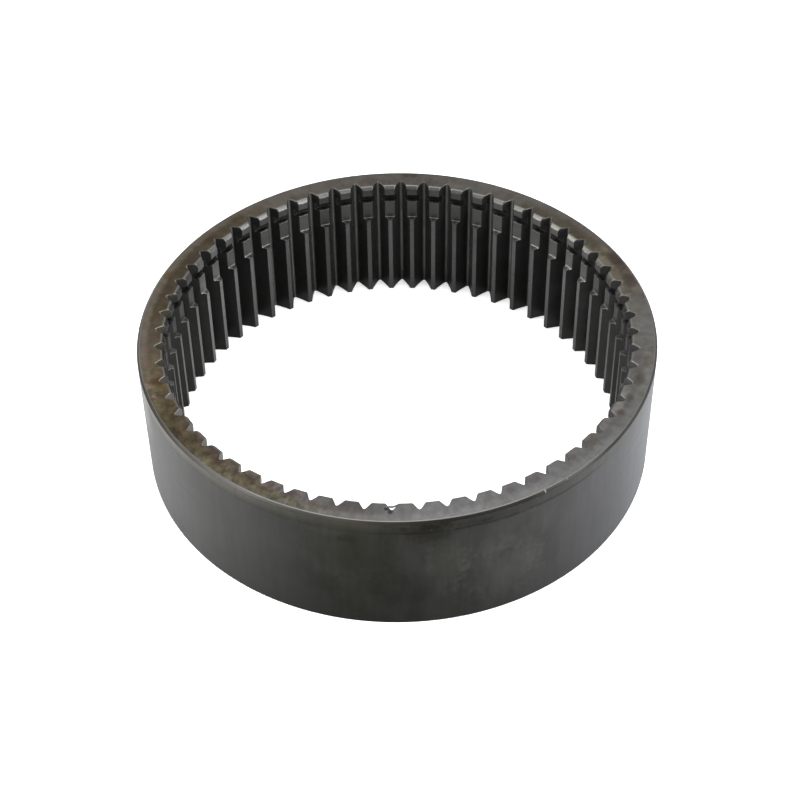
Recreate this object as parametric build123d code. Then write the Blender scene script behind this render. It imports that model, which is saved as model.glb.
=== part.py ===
"""Internal ring gear of one piece, with a turned-back upper end and a snap-ring groove.

The gear lies flat: its lower face is on Z = 0, its axis is Z and the middle of a tooth space is on +X.
The blank is turned first, with its counterbore, groove and edge breaks. The tooth spaces are then cut
through its whole width, so every tooth keeps the turned steps along its crest.
Lengths are in millimetres and angles in degrees.
"""

from build123d import *
import math
import os

# Teeth.
MODULE = 3.0
TEETH = 60
PRESSURE_ANGLE = 30.0
ADDENDUM = 2.6
DEDENDUM = 1.15 * MODULE
BACKLASH = 0.04
ROOT_FILLET = 0.4

# Ring. The rim is the solid wall outside the tooth roots.
RIM = 6.55
FACE_WIDTH = 54.4
RIM_CHAMFER = 0.9
LOWER_RIM_CHAMFER = 0.2
TOOTH_END_CHAMFER = 0.3

# Upper end, where the teeth are turned back to seat an end plate held by a snap ring.
TURNED_DEPTH = 15.7
TURNED_HEIGHT = 2.1
MOUTH_BEVEL_WIDTH = 1.0
MOUTH_BEVEL_DEPTH = 1.3
GROOVE_OFFSET = 4.4
GROOVE_WIDTH = 3.3
GROOVE_DEPTH = 2.3

# Radii and heights that follow from the sizes above.
pitch_radius = MODULE * TEETH / 2
base_radius = pitch_radius * math.cos(math.radians(PRESSURE_ANGLE))
tip_radius = pitch_radius - ADDENDUM
root_radius = pitch_radius + DEDENDUM
outer_radius = root_radius + RIM
turned_radius = tip_radius + TURNED_HEIGHT
groove_radius = turned_radius + GROOVE_DEPTH
turned_floor = FACE_WIDTH - TURNED_DEPTH
groove_top = FACE_WIDTH - GROOVE_OFFSET
groove_bottom = groove_top - GROOVE_WIDTH

# The cutter for the tooth spaces reaches past the tooth tips and past both end faces.
CUTTER_OVERRUN = 1.0
FLANK_POINTS = 5


def involute(angle):
    """Involute function of an angle in radians."""
    return math.tan(angle) - angle


def space_half_angle(radius):
    """Half the angle that a tooth space spans at a radius, in radians: it narrows towards the root."""
    pressure = math.radians(PRESSURE_ANGLE)
    at_pitch = math.pi / (2 * TEETH) + BACKLASH / (2 * pitch_radius)
    at_radius = math.acos(min(1.0, base_radius / radius))
    return at_pitch + involute(pressure) - involute(at_radius)


def polar_point(radius, angle):
    """Point of the XY plane at a radius and an angle in radians."""
    return (radius * math.cos(angle), radius * math.sin(angle))


def tooth_space():
    """Outline of one tooth space about +X: two involute flanks, a filleted root and an open mouth."""
    mouth_radius = tip_radius - CUTTER_OVERRUN
    step = (root_radius - mouth_radius) / (FLANK_POINTS - 1)
    radii = [mouth_radius + step * i for i in range(FLANK_POINTS)]
    upper = [polar_point(radius, space_half_angle(radius)) for radius in radii]
    lower = [(x, -y) for x, y in upper]
    with BuildSketch() as outline:
        with BuildLine():
            Spline(*upper)
            Spline(*lower)
            ThreePointArc(upper[-1], (root_radius, 0), lower[-1])
            Line(lower[0], upper[0])
        make_face()
        root_corners = outline.vertices().group_by(Axis.X)[-1]
        root_width = upper[-1][1] - lower[-1][1]
        fillet(root_corners, min(ROOT_FILLET, 0.45 * root_width))
    return outline.sketch


def turned_blank():
    """Ring as it leaves the lathe, from the outline of its wall on the +X side."""
    with BuildPart() as blank:
        with BuildSketch(Plane.XZ):
            with BuildLine():
                Polyline(
                    (tip_radius + TOOTH_END_CHAMFER, 0),
                    (outer_radius - LOWER_RIM_CHAMFER, 0),
                    (outer_radius, LOWER_RIM_CHAMFER),
                    (outer_radius, FACE_WIDTH - RIM_CHAMFER),
                    (outer_radius - RIM_CHAMFER, FACE_WIDTH),
                    (turned_radius + MOUTH_BEVEL_WIDTH, FACE_WIDTH),
                    (turned_radius, FACE_WIDTH - MOUTH_BEVEL_DEPTH),
                    (turned_radius, groove_top),
                    (groove_radius, groove_top),
                    (groove_radius, groove_bottom),
                    (turned_radius, groove_bottom),
                    (turned_radius, turned_floor),
                    (tip_radius, turned_floor),
                    (tip_radius, TOOTH_END_CHAMFER),
                    close=True,
                )
            make_face()
        revolve(axis=Axis.Z)
    return blank.part


def tooth_cutter():
    """All the tooth spaces as one toothed plug, longer than the ring is wide."""
    space = tooth_space()
    with BuildPart() as cutter:
        with BuildSketch(Plane.XY.offset(-CUTTER_OVERRUN)):
            Circle(tip_radius - CUTTER_OVERRUN / 2)
            with PolarLocations(0, TEETH):
                add(space)
        extrude(amount=FACE_WIDTH + 2 * CUTTER_OVERRUN)
    return cutter.part


def ring_gear():
    """Finished gear: the turned blank less its tooth spaces."""
    return turned_blank() - tooth_cutter()


os.makedirs("parts", exist_ok=True)
export_step(ring_gear(), "parts/ring_gear.step")
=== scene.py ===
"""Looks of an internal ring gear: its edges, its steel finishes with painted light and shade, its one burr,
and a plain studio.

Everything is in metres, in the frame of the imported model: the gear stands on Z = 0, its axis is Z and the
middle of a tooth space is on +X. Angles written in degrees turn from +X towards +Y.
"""

from __future__ import annotations

import logging
import math
from dataclasses import dataclass, field
from enum import Enum

import bpy
import numpy as np
from mathutils import Matrix, Vector

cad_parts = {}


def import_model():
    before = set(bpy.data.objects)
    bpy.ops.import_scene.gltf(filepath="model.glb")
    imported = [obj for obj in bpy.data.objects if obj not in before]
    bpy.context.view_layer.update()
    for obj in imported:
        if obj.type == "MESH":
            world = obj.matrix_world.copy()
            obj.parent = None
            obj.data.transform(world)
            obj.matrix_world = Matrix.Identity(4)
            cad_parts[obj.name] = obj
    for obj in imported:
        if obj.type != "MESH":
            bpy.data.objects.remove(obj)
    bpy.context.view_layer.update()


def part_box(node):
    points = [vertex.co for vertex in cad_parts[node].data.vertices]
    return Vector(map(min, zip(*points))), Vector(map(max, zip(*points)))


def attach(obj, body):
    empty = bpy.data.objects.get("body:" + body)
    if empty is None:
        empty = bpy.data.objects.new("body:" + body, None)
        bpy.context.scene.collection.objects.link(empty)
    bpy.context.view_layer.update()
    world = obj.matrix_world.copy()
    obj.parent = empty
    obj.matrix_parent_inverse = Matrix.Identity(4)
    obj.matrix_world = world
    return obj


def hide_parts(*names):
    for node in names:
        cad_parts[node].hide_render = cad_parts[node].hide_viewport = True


MM = 0.001
LOG = logging.getLogger("ring_gear")

Colour = tuple[float, float, float]
Stop = tuple[float, Colour]


class Finish(Enum):
    """Finishes of the steel, each the name of a material."""

    TOP_FACE = "tinted_top_face"
    RIM = "oiled_rim_with_painted_reflection"
    RIM_EDGE = "rim_edge"
    FLANK = "oiled_flank_with_painted_light"
    ROOT = "oiled_root_with_painted_light"
    TIP = "worn_tip_with_painted_light"
    LAND = "turned_land_with_painted_light"
    MOUTH = "mouth_bevel"
    GROOVE = "groove_wall"
    LOWER_FACE = "lower_face"
    BURR = "bright_burr"


# ---------------------------------------------------------------------------------------------------
# Shader graphs
# ---------------------------------------------------------------------------------------------------


@dataclass
class Graph:
    """Short ways to add and join nodes in one shader or group tree."""

    tree: bpy.types.NodeTree

    def add(self, kind: str, **settings: object) -> bpy.types.Node:
        """Adds a node.

        Args:
            kind: Blender's name for the node type.
            settings: properties of the node, by name.

        Returns:
            The new node.
        """
        node = self.tree.nodes.new(kind)
        for name, value in settings.items():
            setattr(node, name, value)
        return node

    def feed(self, socket: bpy.types.NodeSocket, value: object) -> None:
        """Links an output to a socket, or sets the socket's own value.

        Args:
            socket: the input to feed.
            value: an output socket, a number or a colour.
        """
        if isinstance(value, bpy.types.NodeSocket):
            self.tree.links.new(value, socket)
        elif socket.type == "RGBA":
            socket.default_value = (*value[:3], 1.0)
        else:
            socket.default_value = value

    def math(
        self, operation: str, first: object, second: object = 0.0, clamp: bool = False
    ) -> bpy.types.NodeSocket:
        """Adds a Math node.

        Args:
            operation: name of the operation.
            first: first value or output.
            second: second value or output.
            clamp: whether the result is kept between 0 and 1.

        Returns:
            The result.
        """
        node = self.add("ShaderNodeMath", operation=operation, use_clamp=clamp)
        self.feed(node.inputs[0], first)
        self.feed(node.inputs[1], second)
        return node.outputs[0]

    def mix(self, share: object, first: object, second: object) -> bpy.types.NodeSocket:
        """Mixes two colours.

        Args:
            share: how much of the second colour shows.
            first: first colour.
            second: second colour.

        Returns:
            The mixed colour.
        """
        node = self.add("ShaderNodeMix", data_type="RGBA")
        self.feed(node.inputs["Factor"], share)
        self.feed(node.inputs[6], first)
        self.feed(node.inputs[7], second)
        return node.outputs[2]

    def span(
        self, value: object, low: float, high: float, to_low: float = 0.0, to_high: float = 1.0
    ) -> bpy.types.NodeSocket:
        """Maps a range of values to another, smoothly and without leaving it.

        Args:
            value: the value to map.
            low: value that gives to_low.
            high: value that gives to_high.
            to_low: result at the low end.
            to_high: result at the high end.

        Returns:
            The mapped value.
        """
        node = self.add("ShaderNodeMapRange", interpolation_type="SMOOTHSTEP")
        self.feed(node.inputs["Value"], value)
        for name, number in zip(("From Min", "From Max", "To Min", "To Max"), (low, high, to_low, to_high)):
            node.inputs[name].default_value = number
        return node.outputs["Result"]

    def noise(
        self, vector: object, scale: object, detail: float = 2.0, roughness: float = 0.5, warp: float = 0.0
    ) -> bpy.types.NodeSocket:
        """Adds a Noise texture.

        Args:
            vector: where the noise is read.
            scale: how many blotches a unit holds.
            detail: number of finer layers.
            roughness: strength of the finer layers.
            warp: distortion.

        Returns:
            The noise value, about 0.5 on average.
        """
        node = self.add("ShaderNodeTexNoise")
        self.feed(node.inputs["Vector"], vector)
        self.feed(node.inputs["Scale"], scale)
        node.inputs["Detail"].default_value = detail
        node.inputs["Roughness"].default_value = roughness
        node.inputs["Distortion"].default_value = warp
        return node.outputs["Fac"]

    def around(self, turn: object, stops: tuple[Stop, ...]) -> bpy.types.NodeSocket:
        """Colour that changes round the gear.

        Args:
            turn: angle in whole turns, from 0 to 1.
            stops: colours at angles, in degrees and in rising order.

        Returns:
            The colour, mixed between the nearest stops.
        """
        node = self.add("ShaderNodeValToRGB")
        self.feed(node.inputs["Fac"], turn)
        first, last = stops[0], stops[-1]
        share = (360.0 - last[0]) / (360.0 - last[0] + first[0])
        seam = tuple(high * share + low * (1 - share) for low, high in zip(last[1], first[1]))
        elements = node.color_ramp.elements
        elements[0].color = elements[1].color = (*seam, 1.0)
        for degrees, colour in stops:
            elements.new(degrees / 360.0).color = (*colour, 1.0)
        return node.outputs["Color"]

    def between(self, share: object, low: float, high: float) -> bpy.types.NodeSocket:
        """Value that runs evenly from low to high as a share runs from 0 to 1.

        Args:
            share: the share.
            low: value at 0.
            high: value at 1.

        Returns:
            The value.
        """
        node = self.add("ShaderNodeMapRange")
        self.feed(node.inputs["Value"], share)
        node.inputs["To Min"].default_value = low
        node.inputs["To Max"].default_value = high
        return node.outputs["Result"]

    def scale(self, colour: object, factor: object) -> bpy.types.NodeSocket:
        """Multiplies a colour by a number.

        Args:
            colour: the colour.
            factor: the number.

        Returns:
            The darker or lighter colour.
        """
        node = self.add("ShaderNodeVectorMath", operation="SCALE")
        self.feed(node.inputs[0], colour)
        self.feed(node.inputs["Scale"], factor)
        return node.outputs[0]

    def multiply(self, first: object, second: object) -> bpy.types.NodeSocket:
        """Multiplies two colours.

        Args:
            first: first colour.
            second: second colour.

        Returns:
            The product.
        """
        node = self.add("ShaderNodeVectorMath", operation="MULTIPLY")
        self.feed(node.inputs[0], first)
        self.feed(node.inputs[1], second)
        return node.outputs[0]

    def vector(self, x: object, y: object, z: object) -> bpy.types.NodeSocket:
        """Joins three values into a vector.

        Args:
            x: first value.
            y: second value.
            z: third value.

        Returns:
            The vector.
        """
        node = self.add("ShaderNodeCombineXYZ")
        for socket, value in zip(node.inputs, (x, y, z)):
            self.feed(socket, value)
        return node.outputs[0]


class Group:
    """A shader node group with named inputs and outputs, built once."""

    def __init__(self, name: str, inputs: dict[str, float], outputs: list[str]) -> None:
        """Makes the empty group.

        Args:
            name: name of the group.
            inputs: its number inputs with their defaults.
            outputs: its outputs, which are numbers.
        """
        self.tree = bpy.data.node_groups.new(name, "ShaderNodeTree")
        for label, value in inputs.items():
            socket = self.tree.interface.new_socket(label, in_out="INPUT", socket_type="NodeSocketFloat")
            socket.default_value = value
        for label in outputs:
            self.tree.interface.new_socket(label, in_out="OUTPUT", socket_type="NodeSocketFloat")
        self.graph = Graph(self.tree)
        self.inputs = self.graph.add("NodeGroupInput").outputs
        self.outputs = self.graph.add("NodeGroupOutput").inputs

    def place(self, graph: Graph, **values: object) -> bpy.types.bpy_prop_collection:
        """Places the group in a material.

        Args:
            graph: the material's graph.
            values: input values by name, with spaces written as underscores.

        Returns:
            The outputs of the placed group.
        """
        node = graph.add("ShaderNodeGroup", node_tree=self.tree)
        for label, value in values.items():
            graph.feed(node.inputs[label.replace("_", " ")], value)
        return node.outputs


@dataclass(frozen=True)
class Sector:
    """Stretch round the gear where something shows, in degrees.

    Attributes:
        start: angle where it starts.
        full: angle where it is whole.
        fade: angle where it starts to fade.
        end: angle where it has gone.
    """

    start: float
    full: float
    fade: float
    end: float

    def mask(self, graph: Graph, turn: object) -> bpy.types.NodeSocket:
        """Mask that is 1 where the sector is whole and fades out to 0 at both ends.

        Args:
            graph: the graph to build in.
            turn: angle in whole turns.

        Returns:
            The mask.
        """
        rise = graph.span(turn, self.start / 360.0, self.full / 360.0)
        return graph.math("MULTIPLY", rise, graph.span(turn, self.end / 360.0, self.fade / 360.0))


def polar_group() -> Group:
    """Group that gives a point's place on the gear.

    Radius is the distance from the axis in millimetres, Height that above the lower face in millimetres,
    Turn the angle from +X in whole turns, and Tooth a random number that is the same all over one tooth.

    Returns:
        The group.
    """
    group = Group("place_on_gear", {"Teeth": 60.0}, ["Radius", "Height", "Turn", "Tooth"])
    graph = group.graph
    split = graph.add("ShaderNodeSeparateXYZ")
    graph.feed(split.inputs[0], graph.add("ShaderNodeTexCoord").outputs["Object"])
    x, y, z = split.outputs
    squares = graph.math("ADD", graph.math("MULTIPLY", x, x), graph.math("MULTIPLY", y, y))
    signed = graph.math("DIVIDE", graph.math("ARCTAN2", y, x), 2 * math.pi)
    turn = graph.math("FRACT", graph.math("ADD", signed, 1.0))
    index = graph.math("FLOOR", graph.math("MULTIPLY", turn, group.inputs["Teeth"]))
    white = graph.add("ShaderNodeTexWhiteNoise", noise_dimensions="1D")
    graph.feed(white.inputs["W"], index)
    graph.feed(group.outputs["Radius"], graph.math("DIVIDE", graph.math("SQRT", squares), MM))
    graph.feed(group.outputs["Height"], graph.math("DIVIDE", z, MM))
    graph.feed(group.outputs["Turn"], turn)
    graph.feed(group.outputs["Tooth"], white.outputs["Value"])
    return group


def mottle_group() -> Group:
    """Group for cloudy stains: two layers of noise on the object, sharpened round a level.

    Returns:
        The group, whose output Stain runs from 0 to 1.
    """
    group = Group("mottle", {"Scale": 30.0, "Level": 0.5, "Edge": 0.12, "Stretch": 1.0}, ["Stain"])
    graph = group.graph
    split = graph.add("ShaderNodeSeparateXYZ")
    graph.feed(split.inputs[0], graph.add("ShaderNodeTexCoord").outputs["Object"])
    x, y, z = split.outputs
    where = graph.vector(x, y, graph.math("DIVIDE", z, group.inputs["Stretch"]))
    broad = graph.noise(where, group.inputs["Scale"], detail=3.0, roughness=0.55, warp=0.4)
    fine = graph.noise(where, graph.math("MULTIPLY", group.inputs["Scale"], 4.3), detail=2.0)
    value = graph.math("ADD", graph.math("MULTIPLY", broad, 0.75), graph.math("MULTIPLY", fine, 0.25))
    above = graph.math("SUBTRACT", value, group.inputs["Level"])
    share = graph.math("DIVIDE", above, group.inputs["Edge"])
    graph.feed(group.outputs["Stain"], graph.math("ADD", share, 0.5, clamp=True))
    return group


def turning_group() -> Group:
    """Group for lathe marks: noise that changes fast with Radius and Height and slowly round the gear.

    Returns:
        The group, whose output Marks is a height for bump.
    """
    group = Group("turning_marks", {"Radius": 0.0, "Height": 0.0, "Turn": 0.0, "Pitch": 6.0}, ["Marks"])
    graph = group.graph
    across = graph.math("MULTIPLY", group.inputs["Radius"], group.inputs["Pitch"])
    along = graph.math("MULTIPLY", group.inputs["Height"], group.inputs["Pitch"])
    where = graph.vector(across, along, graph.math("MULTIPLY", group.inputs["Turn"], 9.0))
    graph.feed(group.outputs["Marks"], graph.noise(where, 1.0, detail=2.0, roughness=0.6))
    return group


def stain_and_shade_group() -> Group:
    """Group for one stain or patch of painted reflection: an ellipse whose outline a noise pushes in and
    out.

    Returns:
        The group, whose output Mask is 1 in the stain and 0 away from it.
    """
    inputs = {"Turn": 0.0, "Height": 0.0, "At Turn": 0.5, "At Height": 27.0, "Wide": 0.01, "Tall": 5.0}
    group = Group("smudge", inputs, ["Mask"])
    graph = group.graph
    source = group.inputs
    across = graph.math("DIVIDE", graph.math("SUBTRACT", source["Turn"], source["At Turn"]), source["Wide"])
    above = graph.math("SUBTRACT", source["Height"], source["At Height"])
    along = graph.math("DIVIDE", above, source["Tall"])
    squares = graph.math(
        "ADD", graph.math("MULTIPLY", across, across), graph.math("MULTIPLY", along, along)
    )
    fine_turn = graph.math("MULTIPLY", source["Turn"], 260.0)
    where = graph.vector(fine_turn, graph.math("DIVIDE", source["Height"], 3.2), 5.0)
    ragged = graph.math("MULTIPLY", graph.noise(where, 1.0, detail=4.0, roughness=0.6), 1.8)
    reach = graph.math("ADD", graph.math("SQRT", squares), ragged)
    graph.feed(group.outputs["Mask"], graph.span(reach, 2.3, 1.4))
    return group


def streak_group() -> Group:
    """Group for streaks that run along the axis or the radius.

    Density is how many streaks a whole turn holds, and Length how long one is, in the unit of Along.

    Returns:
        The group, whose outputs Value and Hue are two different noises.
    """
    group = Group(
        "streaks", {"Turn": 0.0, "Along": 0.0, "Density": 200.0, "Length": 10.0}, ["Value", "Hue"]
    )
    graph = group.graph
    across = graph.math("MULTIPLY", group.inputs["Turn"], group.inputs["Density"])
    along = graph.math("DIVIDE", group.inputs["Along"], group.inputs["Length"])
    value = graph.noise(graph.vector(across, along, 3.0), 1.0, detail=3.0, roughness=0.6)
    graph.feed(group.outputs["Value"], value)
    wide = graph.math("MULTIPLY", across, 0.6)
    graph.feed(group.outputs["Hue"], graph.noise(graph.vector(wide, along, 11.0), 1.0, detail=2.0))
    return group


@dataclass(frozen=True)
class Groups:
    """The node groups that the finishes share."""

    polar: Group
    mottle: Group
    turning: Group
    streaks: Group
    smudge: Group

    def streak_noise(
        self, graph: Graph, turn: object, along: object, density: float, length: float
    ) -> bpy.types.bpy_prop_collection:
        """Places noise in streaks that run along the axis or the radius.

        Args:
            graph: the material's graph.
            turn: angle in whole turns.
            along: height or distance from the axis, in millimetres.
            density: how many streaks a whole turn holds.
            length: how long a streak is, in millimetres.

        Returns:
            The outputs Value and Hue.
        """
        return self.streaks.place(graph, Turn=turn, Along=along, Density=density, Length=length)


@dataclass
class Place:
    """What a material knows about the point it colours.

    Attributes:
        radius: distance from the axis, in millimetres.
        height: height above the lower face, in millimetres.
        turn: angle from +X, in whole turns.
        tooth: a random number for each tooth.
    """

    radius: bpy.types.NodeSocket
    height: bpy.types.NodeSocket
    turn: bpy.types.NodeSocket
    tooth: bpy.types.NodeSocket


@dataclass(frozen=True)
class StainAndShade:
    """A single stain, or a patch of painted reflection, with a ragged outline.

    Attributes:
        angle: where its middle is, in degrees.
        height: height of its middle in millimetres, or on the top face its distance from the axis.
        wide: half its width, in degrees.
        tall: half its height, in millimetres.
        shade: what it multiplies the colour by.
    """

    angle: float
    height: float
    wide: float
    tall: float
    shade: Colour


@dataclass(frozen=True)
class Steel:
    """One finish of the steel: a metal surface with stains, tool marks and worn edges, and on several
    finishes painted light and shade.

    Attributes:
        around: colours at angles round the gear, which on several finishes hold painted light and shade.
        edge: colour where the edge is worn bright, and where it carries a painted highlight.
        roughness: how matt the surface is.
        roughness_spread: how far the tool marks change that.
        metallic: share of bare metal.
        stain: what a stain multiplies the colour by.
        stain_scale: how many stains a metre holds.
        stain_level: noise level above which a stain shows.
        stain_share: how strongly a stain covers.
        tooth_share: how much the teeth differ from each other.
        marks: depth of the tool marks, in metres.
        mark_pitch: how many marks a millimetre holds.
        stains_and_shades: the single stains, and on the outer wall patches of painted reflection.
    """

    around: tuple[Stop, ...]
    edge: Colour = (0.1, 0.1, 0.095)
    roughness: float = 0.4
    roughness_spread: float = 0.05
    metallic: float = 1.0
    stain: Colour = (0.7, 0.7, 0.68)
    stain_scale: float = 30.0
    stain_level: float = 0.52
    stain_share: float = 0.6
    tooth_share: float = 0.0
    marks: float = 0.00002
    mark_pitch: float = 4.0
    stains_and_shades: tuple[StainAndShade, ...] = ()

    def build(self, finish: Finish, groups: Groups) -> bpy.types.Material:
        """Makes the material.

        Args:
            finish: which finish it is.
            groups: the shared node groups.

        Returns:
            The material.
        """
        material = bpy.data.materials.new(finish.value)
        material.use_nodes = True
        graph = Graph(material.node_tree)
        shader = material.node_tree.nodes["Principled BSDF"]
        outputs = groups.polar.place(graph)
        place = Place(outputs["Radius"], outputs["Height"], outputs["Turn"], outputs["Tooth"])
        colour = self.colour(graph, groups, place)
        stain = groups.mottle.place(graph, Scale=self.stain_scale, Level=self.stain_level)["Stain"]
        shade = graph.mix(graph.math("MULTIPLY", stain, self.stain_share), (1.0, 1.0, 1.0), self.stain)
        colour = graph.multiply(colour, shade)
        if self.tooth_share > 0.0:
            level = graph.between(place.tooth, 1.0 - self.tooth_share, 1.0 + self.tooth_share)
            colour = graph.scale(colour, level)
        # Worn edges, lighter partly as wear and partly as a painted highlight on the rounded edges.
        worn = graph.add("ShaderNodeAttribute", attribute_name="wear_and_highlight").outputs["Fac"]
        colour = graph.mix(self.worn(graph, place, worn), colour, self.edge)
        marks = groups.turning.place(
            graph, Radius=place.radius, Height=place.height, Turn=place.turn, Pitch=self.mark_pitch
        )["Marks"]
        bump = graph.add("ShaderNodeBump")
        bump.inputs["Distance"].default_value = self.marks
        graph.feed(bump.inputs["Height"], marks)
        smooth, matt = self.roughness - self.roughness_spread, self.roughness + self.roughness_spread
        rough = graph.span(marks, 0.2, 0.8, smooth, matt)
        graph.feed(shader.inputs["Base Color"], colour)
        graph.feed(shader.inputs["Roughness"], rough)
        graph.feed(shader.inputs["Metallic"], self.metallic)
        graph.feed(shader.inputs["Normal"], bump.outputs["Normal"])
        return material

    def colour(self, graph: Graph, groups: Groups, place: Place) -> bpy.types.NodeSocket:
        """Colour of the surface before the stains.

        Args:
            graph: the material's graph.
            groups: the shared node groups.
            place: the point.

        Returns:
            The colour.
        """
        return self.stained_and_shaded(graph, groups, place, place.height, graph.around(place.turn, self.around))

    def stained_and_shaded(
        self,
        graph: Graph,
        groups: Groups,
        place: Place,
        along: bpy.types.NodeSocket,
        colour: bpy.types.NodeSocket,
    ) -> bpy.types.NodeSocket:
        """Adds the single stains and the patches of painted reflection.

        Args:
            graph: the material's graph.
            groups: the shared node groups.
            place: the point.
            along: the height or the distance from the axis that the stains are placed by.
            colour: colour of the surface.

        Returns:
            The colour with the stains.
        """
        for smudge in self.stains_and_shades:
            mask = groups.smudge.place(
                graph,
                Turn=place.turn,
                Height=along,
                At_Turn=smudge.angle / 360.0,
                At_Height=smudge.height,
                Wide=smudge.wide / 360.0,
                Tall=smudge.tall,
            )["Mask"]
            colour = graph.multiply(colour, graph.mix(mask, (1.0, 1.0, 1.0), smudge.shade))
        return colour

    def worn(self, graph: Graph, place: Place, wear_and_highlight: bpy.types.NodeSocket) -> bpy.types.NodeSocket:
        """How much of the worn colour, with its painted highlight, shows.

        Args:
            graph: the material's graph.
            place: the point.
            wear_and_highlight: how near the point is to a worn edge with a painted highlight.

        Returns:
            The share, from 0 to 1.
        """
        return wear_and_highlight


@dataclass(frozen=True)
class TopFaceSteel(Steel):
    """Ground end face with heat tint: browner on one side, with radial streaks and single tinted teeth.

    Attributes:
        outer: colours of the band beside the rim.
        outer_starts: distance from the axis where that band starts, in millimetres.
        outer_full: distance from the axis where it is whole.
        streak_share: how strongly the warm and cool streaks show where the face is browned.
        burnt: where oil has burnt on.
        reddened: where the bodies of the teeth are reddish.
    """

    outer: tuple[Stop, ...] = ()
    outer_starts: float = 96.3
    outer_full: float = 98.7
    streak_share: float = 0.5
    burnt: Sector = Sector(184.0, 202.0, 246.0, 262.0)
    reddened: Sector = Sector(205.0, 216.0, 250.0, 262.0)

    def colour(self, graph: Graph, groups: Groups, place: Place) -> bpy.types.NodeSocket:
        """Heat tint of the face; the arguments and the result are those of the plain steel."""
        inner = graph.around(place.turn, self.around)
        outer = graph.around(place.turn, self.outer)
        wander = groups.streak_noise(graph, place.turn, place.radius, density=120.0, length=3.0)
        radius = graph.math("ADD", place.radius, graph.math("MULTIPLY", wander["Value"], 2.5))
        colour = graph.mix(graph.span(radius, self.outer_starts, self.outer_full), inner, outer)
        colour = self.streaked(graph, groups, place, colour)
        colour = self.burnt_oil(graph, groups, place, colour)
        return self.stained_and_shaded(graph, groups, place, place.radius, self.tinted_teeth(graph, place, colour))

    def streaked(
        self, graph: Graph, groups: Groups, place: Place, colour: bpy.types.NodeSocket
    ) -> bpy.types.NodeSocket:
        """Adds faint radial streaks all round, warmer and cooler where the face is browned.

        Args:
            graph: the material's graph.
            groups: the shared node groups.
            place: the point.
            colour: colour of the face.

        Returns:
            The streaked colour.
        """
        streaks = groups.streak_noise(graph, place.turn, place.radius, density=220.0, length=5.0)
        cool = graph.span(streaks["Hue"], 0.35, 0.65)
        tinted = graph.multiply(colour, graph.mix(cool, (1.10, 0.97, 0.86), (0.95, 1.02, 0.88)))
        parts = graph.add("ShaderNodeSeparateColor")
        graph.feed(parts.inputs[0], colour)
        browned = graph.span(graph.math("DIVIDE", parts.outputs["Red"], parts.outputs["Blue"]), 1.1, 1.5)
        colour = graph.mix(graph.math("MULTIPLY", browned, self.streak_share), colour, tinted)
        return graph.scale(colour, graph.span(streaks["Value"], 0.25, 0.75, 0.84, 1.14))

    def burnt_oil(
        self, graph: Graph, groups: Groups, place: Place, colour: bpy.types.NodeSocket
    ) -> bpy.types.NodeSocket:
        """Adds burnt-on oil: strong short streaks, warm and greenish.

        Args:
            graph: the material's graph.
            groups: the shared node groups.
            place: the point.
            colour: colour of the face.

        Returns:
            The colour with the oil.
        """
        broad = groups.streak_noise(graph, place.turn, place.radius, density=190.0, length=4.0)
        fine = groups.streak_noise(graph, place.turn, place.radius, density=430.0, length=2.2)
        value = graph.math(
            "MULTIPLY",
            graph.span(broad["Value"], 0.34, 0.66, 0.70, 1.34),
            graph.span(fine["Value"], 0.32, 0.68, 0.86, 1.16),
        )
        green = graph.span(broad["Hue"], 0.42, 0.58)
        tint = graph.mix(green, (1.03, 0.98, 0.88), (0.98, 1.01, 0.84))
        oiled = graph.scale(graph.multiply(colour, tint), value)
        return graph.mix(self.burnt.mask(graph, place.turn), colour, oiled)

    def tinted_teeth(
        self, graph: Graph, place: Place, colour: bpy.types.NodeSocket
    ) -> bpy.types.NodeSocket:
        """Tints the bodies of some teeth purple, and all those in one sector reddish.

        Args:
            graph: the material's graph.
            place: the point.
            colour: colour of the face.

        Returns:
            The colour with the tinted teeth.
        """
        body = graph.span(place.radius, 95.5, 93.0)
        purple = graph.math("MULTIPLY", graph.span(place.tooth, 0.55, 0.8), body)
        colour = graph.multiply(colour, graph.mix(purple, (1.0, 1.0, 1.0), (0.84, 0.80, 0.83)))
        red = graph.math("MULTIPLY", self.reddened.mask(graph, place.turn), body)
        return graph.multiply(colour, graph.mix(red, (1.0, 1.0, 1.0), (1.09, 1.06, 1.38)))


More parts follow.
